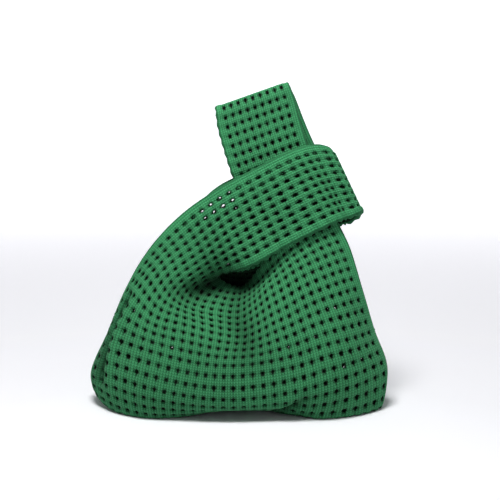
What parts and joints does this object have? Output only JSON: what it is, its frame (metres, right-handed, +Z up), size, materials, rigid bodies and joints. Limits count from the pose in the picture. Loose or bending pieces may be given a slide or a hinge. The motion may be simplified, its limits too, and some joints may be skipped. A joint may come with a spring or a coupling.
{
  "type": "knitted bag",
  "caption": "Soft one-piece eyelet-knit bag standing open and hollow, its long loop handle passed up through its short one.",
  "frame": {"origin": "middle of the bag's underside, on the surface that it stands on", "axes": "+Z up, front towards -Y, the short handle starts on the -X shoulder and the long handle on the +X one"},
  "size_m": [0.2484, 0.1084, 0.2675],
  "materials": {
    "green_knit": "matt green yarn in an eyelet knit"
  },
  "bodies": {
    "root": {"knit_bag": "green_knit"}
  },
  "joints": []
}
